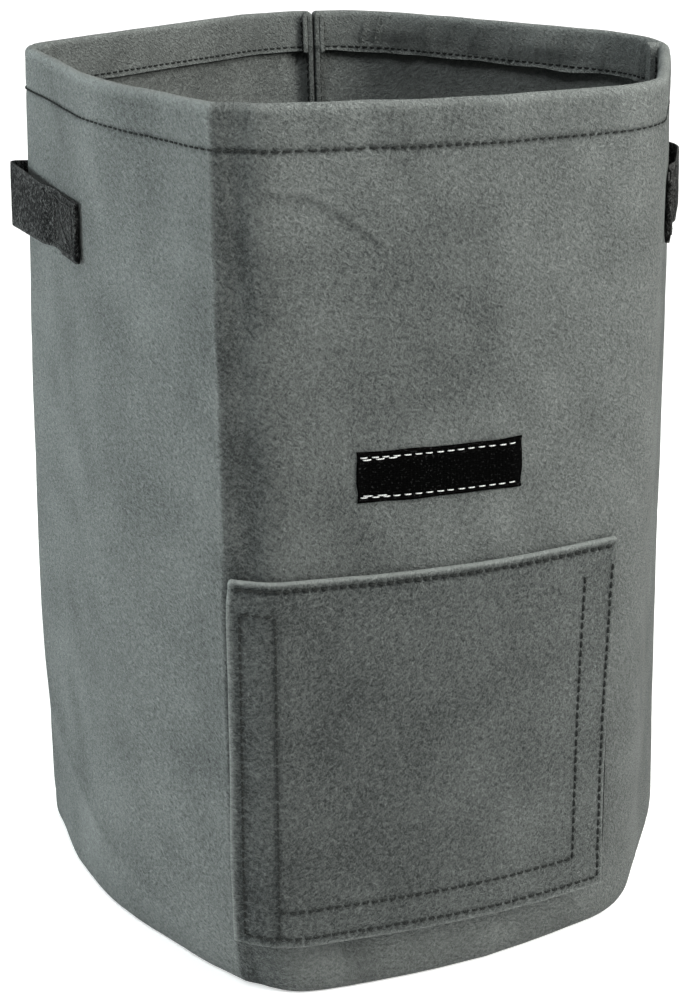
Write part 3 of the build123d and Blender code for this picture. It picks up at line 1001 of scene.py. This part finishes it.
hem_rows = [hem_row(*panel[1:3], 51 + i) for i, panel in enumerate(PANELS.values())]
hem_rows += [inside_hem_row(*panel[1:], 54 + i) for i, panel in enumerate(PANELS.values())]
sew("rim_hem_thread", hem_rows, grey_thread, "rim_hem_stitching")


def base_row():
    def place(s, lift):
        point, normal = ring(g_of(s), BASE_ROW)
        inward = 2 * LAYER + FELT + lift - bulge(s, BASE_ROW)
        return np.column_stack([point - normal * inward[:, None], np.full(s.shape, BASE_ROW)])

    return sewn(place, S_TABLE[0], S_TABLE[0] + ROUND, seed=57)


sew("base_seam_thread", [base_row()], grey_thread, "base_seam_stitching")


def seam_rows(s):
    """A seam's stitches, on both outer faces of the two panel edges turned into the bag."""
    made = []
    for sign in (1, -1):
        def place(z, lift, sign=sign):
            point, into, normal = seam_frame(s, sign, z)
            side = FELT + 0.75 + lift + LAYER * (z > HEIGHT - HEM_DEEP)
            deep = SEAM_ROW_DEEP - bulge(s, z)
            return np.column_stack([point + into * side[:, None] - normal * deep[:, None], z])

        made.append(sewn(place, BASE_TURN + 4, HEIGHT - HEM_DEEP - 2, seed=60 + sign))
        made.append(sewn(place, HEIGHT - HEM_DEEP + 1, HEIGHT - 5, seed=63 + sign))
    return made


for seam, seam_place in SEAMS.items():
    sew(f"{seam}_seam_thread", seam_rows(seam_place), grey_thread, f"{seam}_seam_stitching")

hinge_row = sewn_line(on_flap, (FLAP_X[0] + 2, HINGE_ROW), (FLAP_X[1] - 2, HINGE_ROW), 71)
hinge_thread = stitches("flap_hinge_thread", [hinge_row], grey_thread, radius=0.65, proud=0.6)
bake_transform(hinge_thread)
finish_piece(hinge_thread, None, "flap_hinge_stitching")


def flap_rows():
    """Rows round the tapes behind the flap, as seen on its face."""
    left_out, left_in, low, high = inside_rows(*TAPES["left"], TAPE_INSET)
    right_in, right_out, _, _ = inside_rows(*TAPES["right"], TAPE_INSET)
    bottom = TAPES["bottom"][1][1] - TAPE_INSET
    ends = [
        ((left_out, low), (left_out, high)), ((left_in, low), (left_in, high)),
        ((left_out, high), (left_in, high)), ((right_in, bottom), (right_in, high)),
        ((right_out, low), (right_out, high + 4)), ((left_out, low), (right_out, low)),
        ((left_in, bottom), (right_in, bottom)),
    ]
    return [sewn_line(on_flap, *pair, 72 + i) for i, pair in enumerate(ends)]


sew("flap_tape_thread", flap_rows(), grey_thread, "flap_tape_stitching", "flap", radius=0.58, proud=0.5)


# ---- Hook and loop tapes ----
def tape_grid(x_range, z_range, step):
    """Matching grids of x and z over a tape, about one step apart."""
    x = np.linspace(*x_range, int((x_range[1] - x_range[0]) / step) + 1)[None]
    z = np.linspace(*z_range, int((z_range[1] - z_range[0]) / step) + 1)[:, None]
    return x + 0 * z, z + 0 * x


def edge_distance(x, z, x_range, z_range):
    """How far points of a tape lie inside its nearest edge."""
    across = np.minimum(x - x_range[0], x_range[1] - x)
    up = np.minimum(z - z_range[0], z_range[1] - z)
    return np.minimum(across, up)


def loop_tape_piece(side):
    x_range, z_range = TAPES[side]
    x, z = tape_grid(x_range, z_range, 1.25)
    g = front_g(x, z, 0.6)
    inner = np.clip(edge_distance(x, z, x_range, z_range) / 2.2, 0, 1)
    fuzz = np.random.default_rng(81).uniform(-0.22, 0.22, x.shape) * inner
    face = on_wall(g, z, 0.7 + 0.5 * inner + fuzz)
    back = on_wall(g, z, 0.05)
    name = f"window_loop_tape_{side}"
    obj = thick_sheet(name + "_pile", face, back, x, z, 0.1 * inner, loop_tape, edge_round=0.1, edge_highlight=0)
    return finish_piece(obj, "bag", name)


def hooks(place, x_range, z_range, pitch, height, girth, margin):
    """Points and faces of rows of small bent hooks standing on a tape."""
    xs = np.arange(x_range[0] + margin, x_range[1] - margin + 0.01, pitch)
    zs = np.arange(z_range[0] + margin, z_range[1] - margin + 0.01, pitch * 0.8)
    x, z = (a.ravel() for a in np.meshgrid(xs, zs))
    z = z + (np.round((x - xs[0]) / pitch) % 2) * pitch * 0.4
    jitter = np.random.default_rng(82).uniform(-0.12, 0.12, (2, len(x)))
    x, z = x + jitter[0], z + jitter[1]
    foot, top = place(x, z, 0.0), place(x, z, 1.0)
    out = unit(top - foot)
    up = unit(np.array([0, 0, 1.0]) - out * out[:, 2:])
    side = np.cross(out, up)
    levels = [(-0.1, 0.0, 1.0), (0.55, 0.0, 0.8), (0.95, 0.12, 0.75), (1.0, 0.42, 0.6), (0.72, 0.62, 0.35)]
    rings = []
    for rise, lean, wide in levels:
        middle = foot + out * rise * height + up * lean * height
        corners = [middle + side * a * girth * wide + up * b * girth * wide
                   for a, b in ((-1, -1), (1, -1), (1, 1), (-1, 1))]
        rings.append(np.stack(corners, 1))
    return np.stack(rings, 1).reshape(-1, 3), tube_faces(len(x), len(levels), 4)


def with_hooks(obj, points, faces):
    """Adds hooks to a tape's mesh."""
    # The hooks are coloured a little paler than the tape, a painted glint.
    extra = solid(obj.name + "_hooks", points, faces, points, np.full(len(points), 0.15), hook_tape, 40)
    bpy.ops.object.select_all(action="DESELECT")
    extra.select_set(True)
    obj.select_set(True)
    bpy.context.view_layer.objects.active = obj
    bpy.ops.object.join()


def hook_tape_piece(side):
    x_range, z_range = TAPES[side]
    x, z = tape_grid(x_range, z_range, 2.0)
    face = on_flap(x, z, -FELT - 0.05)
    back = on_flap(x, z, -FELT - 0.75)
    name = f"flap_hook_tape_{side}"
    obj = thick_sheet(name + "_weave", face, back, x, z, 0.0, hook_tape, edge_round=0.1, edge_highlight=0)

    def place(x, z, rise):
        return on_flap(x, z, -FELT - 0.7 - rise)

    with_hooks(obj, *hooks(place, x_range, z_range, pitch=2.3, height=0.75, girth=0.26, margin=4.2))
    return finish_piece(obj, "flap", name)


loop_tapes = [loop_tape_piece(side) for side in TAPES]
hook_tapes = [hook_tape_piece(side) for side in TAPES]


def on_loop_tape(x, z, lift):
    return on_wall(front_g(x, z, LOOP_FACE), z, lift + LOOP_FACE)


def window_rows():
    """Rows along the side tapes' upright edges, and along the bottom tape's level edges."""
    rows = []
    for number, tape in enumerate(TAPES.values()):
        x_low, x_high, z_low, z_high = inside_rows(*tape, TAPE_INSET)
        if number < 2:
            rows.append(sewn_line(on_loop_tape, (x_low, z_low), (x_low, z_high), 84 + number))
            rows.append(sewn_line(on_loop_tape, (x_high, z_low), (x_high, z_high), 86 + number))
        else:
            rows.append(sewn_line(on_loop_tape, (x_low, z_low), (x_high, z_low), 88))
            rows.append(sewn_line(on_loop_tape, (x_low, z_high), (x_high, z_high), 89))
    return rows


sew("window_tape_thread", window_rows(), grey_thread, "window_tape_stitching")


# ---- Hook strip on the wall above the flap ----
def strip_out(x, z):
    """How far the strip's face stands off the wall."""
    inner = np.clip(edge_distance(x, z, STRIP_X, STRIP_Z) / 1.2, 0, 1)
    rows = hump(z - STRIP_Z[0] - STRIP_INSET, 1.0) + hump(z - STRIP_Z[1] + STRIP_INSET, 1.0)
    beat = 1 + 0.35 * np.cos(2 * np.pi * x / STRIP_PITCH)
    wavy = 0.18 * soft_noise(x / 9 + 12, z / 9, 91)
    return 1.0 + 0.35 * inner - 0.4 * rows * beat + wavy


def strip_edge(x, z):
    """The strip's cut edges wander a little; returns moved x and z."""
    x_share = (x - sum(STRIP_X) / 2) / (STRIP_X[1] - STRIP_X[0]) * 2
    z_share = (z - sum(STRIP_Z) / 2) / (STRIP_Z[1] - STRIP_Z[0]) * 2
    moved_x = x + 0.5 * x_share * soft_noise(z / 6 + 3, x * 0, 92)
    moved_z = z + 0.35 * z_share * soft_noise(x / 14 + 8, z * 0, 93)
    return moved_x, moved_z


def on_strip(x, z, lift):
    return on_wall(front_g(x, np.round(z, 1), 1.0), z, strip_out(x, z) + lift)


def strip_piece():
    x, z = tape_grid(STRIP_X, STRIP_Z, 0.8)
    moved_x, moved_z = strip_edge(x, z)
    g = front_g(moved_x, np.round(moved_z, 1), 1.0)
    face = on_wall(g, moved_z, strip_out(x, z))
    back = on_wall(g, moved_z, 0.05)
    # Slight painted highlight on the strip's cut edges.
    obj = thick_sheet("hook_strip_weave", face, back, x, z, 0.0, hook_tape, edge_round=0.15, edge_highlight=0.1)

    def place(x, z, rise):
        return on_strip(x, z, rise - 0.1)

    with_hooks(obj, *hooks(place, STRIP_X, STRIP_Z, pitch=1.7, height=0.85, girth=0.2, margin=4.4))
    finish_piece(obj, "bag", "hook_strip")


def strip_rows():
    """The two rows along the strip, and the short back-stitched starts beside them."""
    left, right, low, high = inside_rows(STRIP_X, STRIP_Z, STRIP_INSET)
    left, right = left - 1.1, right + 1.1
    ends = [
        ((left, low), (right, low)), ((left, high), (right, high)),
        ((left + 1, high - 1.1), (left + 20.5, high - 0.7)),
        ((left + 1, low + 0.9), (left + 15.5, low + 0.6)),
    ]

    def surface(x, z, lift):
        return on_strip(x, np.round(z, 1), lift)

    return [sewn_line(surface, *pair, 94 + i, STRIP_PITCH, STRIP_STITCH) for i, pair in enumerate(ends)]


strip_piece()
sew("hook_strip_thread", strip_rows(), white_thread, "hook_strip_stitching", radius=0.31, proud=0.24)


# ---- Strap handles ----
def plan_at(z):
    """Corners of the plan and their radii at height z."""
    return BASE_PLAN + (RIM_PLAN - BASE_PLAN) * z / HEIGHT


def corner_frame(corner, sign, z):
    """Polygon corner, direction along the side away from it, and outward normal, at height z."""
    points = plan_at(z)[:, :2] + CENTRE_SHIFT
    point = points[corner]
    beside = points[(corner + sign) % len(points)]
    along = unit(beside - point)
    normal = np.array([along[1], -along[0]]) * sign
    return point, along, normal


def strap_height(side, sign, distance, z):
    """Height of a point of a strap, which sags a little away from its fold."""
    slant = STRAP_SLANT[side][sign] * np.clip(distance, 0, None)
    widen = STRAP_WIDEN[side] * (1 - 1.5 * np.clip(distance / 70, 0, 1))
    return z + STRAP_RAISE[side] + slant + (z - STRAP_MIDDLE) * widen


def bezier(a, b, c, d, count):
    t = np.linspace(0, 1, count)[:, None]
    return a * (1 - t) ** 3 + 3 * b * t * (1 - t) ** 2 + 3 * c * t**2 * (1 - t) + d * t**3


def strap_line(corner, stand, fold_radius, sign, z):
    """Middle line of one half of a strap at height z, from its turned-under end to the fold."""
    point, along, normal = corner_frame(corner, sign, z)
    _, other_along, other_normal = corner_frame(corner, -sign, z)
    radius = plan_at(z)[corner, 2]
    out = unit(normal + other_normal)
    half_turn = math.acos(np.clip(normal @ other_normal, -1, 1)) / 2
    fold_out = stand + 1.5 + (fold_radius - radius) * (1 / math.cos(half_turn) - 1)
    fold = point + out * fold_out
    root = point + along * (PATCH_NEAR - 0.6) + normal * 4.4
    other_root = point + other_along * (PATCH_NEAR - 0.6) + other_normal * 4.4
    inward, other_inward = unit(root - fold), unit(other_root - fold)
    open_half = math.acos(np.clip(inward @ other_inward, -1, 1)) / 2
    reach = fold_radius / math.tan(open_half)
    arc_start = fold + inward * reach
    centre = fold + unit(inward + other_inward) * fold_radius / math.sin(open_half)
    from_centre = arc_start - centre
    apex = fold - centre
    swing = math.atan2(from_centre[0] * apex[1] - from_centre[1] * apex[0], from_centre @ apex)

    def off(distance, height):
        distance, height = np.broadcast_arrays(distance, height)
        return point + along * distance[..., None] + normal * height[..., None]

    # The turned-under end lies at low, the layer sewn over it at high, and the two meet in a half turn.
    low, high = 0.55 + STRAP_THICK / 2, 0.75 + STRAP_THICK * 1.5
    rise = (high - low) / 2
    end = PATCH_FAR - 1.2
    turn = np.radians(np.linspace(-70, 70, 6))
    step = np.linspace(0, 1, 7)[1:]
    leave, join = off(70.0, low), fold + inward * (np.linalg.norm(root - fold) - 12)
    straight = np.linspace(0, 1, max(3, int(np.linalg.norm(join - arc_start) / 2)))[1:-1, None]
    angles = np.linspace(0, swing, 12 if fold_radius > 10 else 8)[:, None]
    turned = np.array([-from_centre[1], from_centre[0]])
    line = np.concatenate([
        off(np.linspace(TURNED_UNDER, end, 10), low),
        off(end + rise * np.cos(turn), low + rise + rise * np.sin(turn)),
        off(np.linspace(end, TURNED_UNDER, 10), high),
        off(TURNED_UNDER - 1 - STEP_DOWN * step, high + (low - high) * smooth(step)),
        off(np.linspace(TURNED_UNDER - STEP_DOWN - 2, 71.5, 4), low),
        bezier(leave, leave - along * 7, join + inward * 6, join, 12),
        join + (arc_start - join) * straight,
        centre + np.cos(angles) * from_centre + np.sin(angles) * turned,
    ])
    return line, out


def strap_half(name, side, sign):
    """One half of a handle, from its sewn end to the fold, as a sheet on edge."""
    corner, stand, fold_radius = HANDLES[side]
    levels = np.linspace(*STRAP_Z, 17)
    face, back = [], []
    for z in levels:
        line, out = strap_line(corner, stand, fold_radius, sign, z)
        tangent = unit(np.gradient(line, axis=0))
        last = np.array([-out[1], out[0]])
        tangent[-1] = last if last @ tangent[-1] >= 0 else -last
        normal = np.column_stack([tangent[:, 1], -tangent[:, 0]]) * -sign
        edge = min(z - STRAP_Z[0], STRAP_Z[1] - z)
        thick = STRAP_THICK / 2 * (0.72 + 0.28 * min(1.0, edge / 1.6))
        fray = 0.12 * soft_noise(np.arange(len(line)) / 2.0 + 3, z / 5, 98)
        point, along, _ = corner_frame(corner, sign, z)
        level = strap_height(side, sign, (line - point) @ along, z)
        face.append(np.column_stack([line + normal * (thick + fray)[:, None], level]))
        back.append(np.column_stack([line - normal * (thick - fray)[:, None], level]))
    face, back = np.stack(face, 1), np.stack(back, 1)
    u, v = run_length(face[:, 8])[:, None], levels[None]
    across = np.minimum(v - STRAP_Z[0], STRAP_Z[1] - v)
    tone = 0.16 * hump(across, 1.0) + 0.06 * soft_noise(u / 12, v / 8, 99)
    # Slight painted highlight on the strap's cut edges.
    obj = thick_sheet(name, face, back, u, v, tone, black_strap, edge_round=0.12, edge_highlight=0.05)
    point, along, _ = corner_frame(corner, sign, STRAP_MIDDLE)
    start, end = (Vector((*(point + along * reach), STRAP_MIDDLE)) * MM for reach in (PATCH_NEAR, 30))
    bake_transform(obj)
    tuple(start)
    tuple(end)
    return obj


def box_cross(side, sign):
    """A square of stitches with a cross in it on one strap end."""
    near, far, half = PATCH_NEAR + 3.4, PATCH_FAR - 4.5, 13.0

    def surface(distance, up, lift):
        points = []
        for d, z in zip(distance, STRAP_MIDDLE + up):
            point, along, normal = corner_frame(HANDLES[side][0], sign, z)
            down = smooth(np.clip((TURNED_UNDER - 1 - d) / STEP_DOWN, 0, 1))
            out = 0.75 + STRAP_THICK * 2 - (STRAP_THICK + 0.2) * down + lift
            points.append((*(point + along * d + normal * out), float(strap_height(side, sign, d, z))))
        return np.array(points)

    corners = [(near, -half), (far, -half), (far, half), (near, half)]
    lines = [(0, 1), (1, 2), (2, 3), (3, 0), (0, 2), (1, 3)]
    return [
        sewn_line(surface, corners[a], corners[b], 101 + i, STRAP_PITCH, STRAP_STITCH)
        for i, (a, b) in enumerate(lines)
    ]


straps = []
for side in HANDLES:
    for sign, end_name in ((-1, "front"), (1, "rear")):
        half = strap_half(f"handle_{side}_{end_name}_strap", side, sign)
        grip = [f"handle_{side}_grip"] if end_name == "front" else []
        straps.append(finish_piece(half, None, f"handle_{side}_{end_name}_end", *grip))
    rows = box_cross(side, -1) + box_cross(side, 1)
    sew(f"handle_{side}_thread", rows, black_thread, f"handle_{side}_stitching", radius=0.36, proud=0.25)


# ---- A length for each strap half, in metres, which nothing reads ----
for strap in straps:
    long = 0.135 if "left" in strap.name else 0.130


# ---- Floor, light and camera ----
def stage_material():
    material = bpy.data.materials.new("pale_floor")
    material.use_nodes = True
    shader = material.node_tree.nodes["Principled BSDF"]
    shader.inputs["Base Color"].default_value = (0.86, 0.86, 0.855, 1)
    shader.inputs["Roughness"].default_value = 0.9
    shader.inputs["Specular IOR Level"].default_value = 0.1
    shader.inputs["Emission Color"].default_value = (1, 1, 1, 1)
    shader.inputs["Emission Strength"].default_value = 0.45
    return material


bpy.ops.mesh.primitive_plane_add(size=30, location=(0, 0, -0.0004))
floor = bpy.context.object
floor.name = "studio_floor"
floor.data.materials.append(stage_material())
floor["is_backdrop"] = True


def soft_light(name, place, aim, size, power, colour):
    light = bpy.data.lights.new(name, "AREA")
    light.shape = "RECTANGLE"
    light.size, light.size_y = size
    light.energy = power
    light.color = colour
    obj = put(name, light)
    obj.location = place
    obj.rotation_euler = (Vector(aim) - Vector(place)).to_track_quat("-Z", "Y").to_euler()


LIGHTS = (  # name, place, aim, size, watts, colour
    ("key_right", (1.60, -1.40, 1.30), (0, 0, 0.25), (0.8, 0.8), 42, (1.0, 1.0, 0.955)),
    ("over_right", (0.80, -1.10, 1.95), (0, 0, 0.30), (0.6, 0.6), 27, (1.0, 1.0, 0.97)),
    ("side_left", (-1.75, 0.55, 0.30), (0, 0, 0.22), (0.9, 0.7), 41, (0.88, 0.985, 1.0)),
    ("over_left", (-0.8, -0.8, 2.2), (0, 0, 0.35), (0.8, 0.8), 22, (0.95, 0.99, 1.0)),
    ("backdrop", (1.1, 3.6, 2.4), (1.1, 3.6, 0), (3.0, 3.0), 70, (1, 1, 1)),
)
for light in LIGHTS:
    soft_light(*light)

world = bpy.data.worlds.new("studio")
bpy.context.scene.world = world
world.use_nodes = True
background = world.node_tree.nodes["Background"].inputs
background["Color"].default_value = (0.96, 0.98, 1.0, 1)
background["Strength"].default_value = 0.15

camera_data = bpy.data.cameras.new("camera")
camera_data.sensor_width = 36.0
camera_data.lens = 73.8
camera = put("camera", camera_data)
camera.location = (-0.3310, -1.0506, 0.5995)
camera.rotation_euler = Vector((0.27231, 0.89893, -0.34317)).to_track_quat("-Z", "Y").to_euler()
bpy.context.scene.camera = camera
bpy.context.scene.view_settings.view_transform = "Standard"

boxes = {"cad": cad_box, "visual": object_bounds()}
{name: [list(low), list(high)] for name, (low, high) in boxes.items()}
